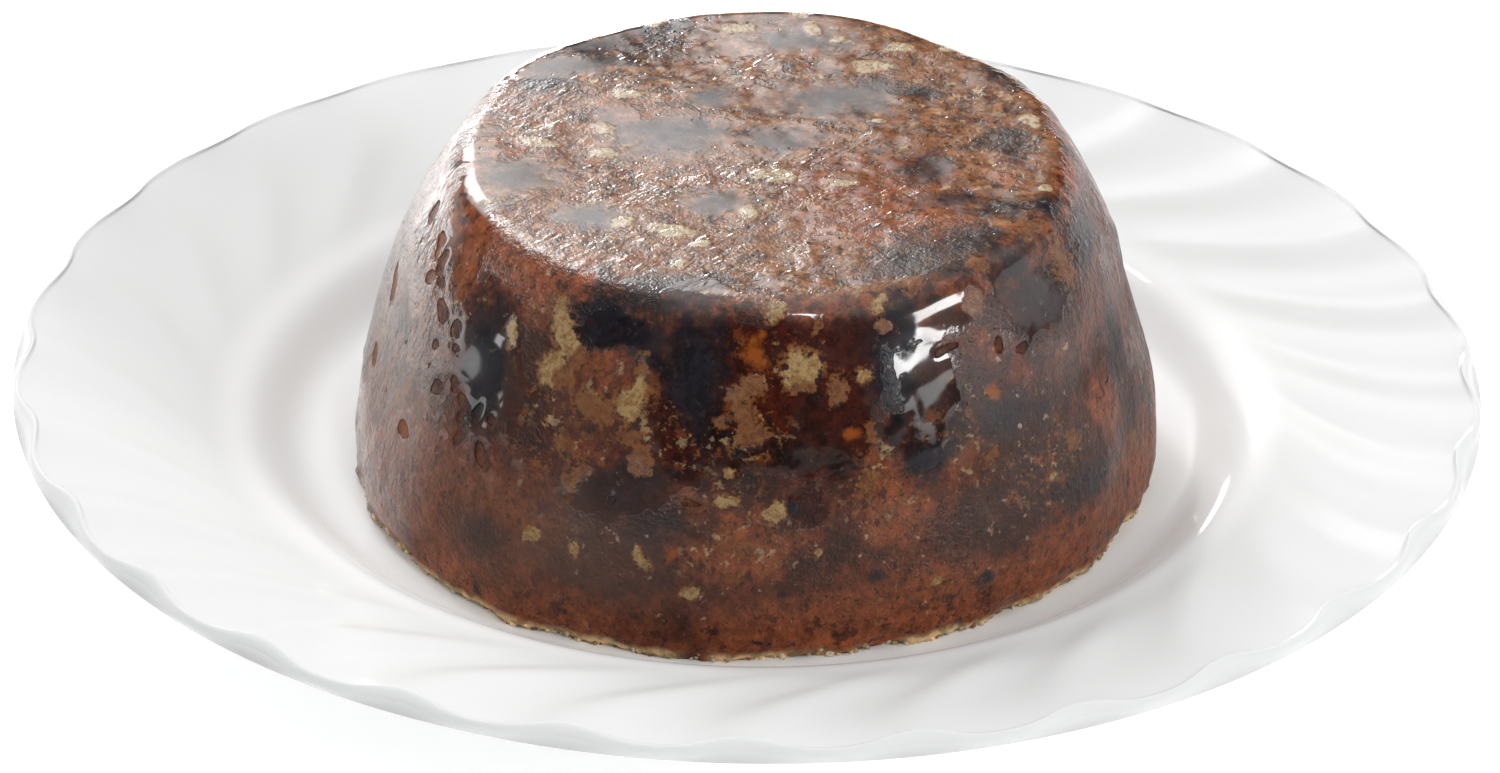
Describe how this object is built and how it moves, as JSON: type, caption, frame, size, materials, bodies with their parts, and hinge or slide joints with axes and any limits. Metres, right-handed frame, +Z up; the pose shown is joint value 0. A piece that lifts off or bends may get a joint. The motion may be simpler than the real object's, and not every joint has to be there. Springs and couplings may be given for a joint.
{
  "type": "christmas pudding on a plate",
  "caption": "Dark glossy steamed fruit pudding, turned out as a flat-topped dome, resting in the well of a white plate with a swirled scalloped rim.",
  "frame": {"origin": "centre of the plate's foot ring, on the surface that the plate stands on", "axes": "+Z up; -Y is the side that the picture shows, and +X is to its right"},
  "size_m": [0.203, 0.203, 0.0543],
  "materials": {
    "white_porcelain": "gloss",
    "dark_pudding": "gloss"
  },
  "bodies": {
    "root": {"plate": "white_porcelain", "pudding": "dark_pudding"}
  },
  "joints": []
}
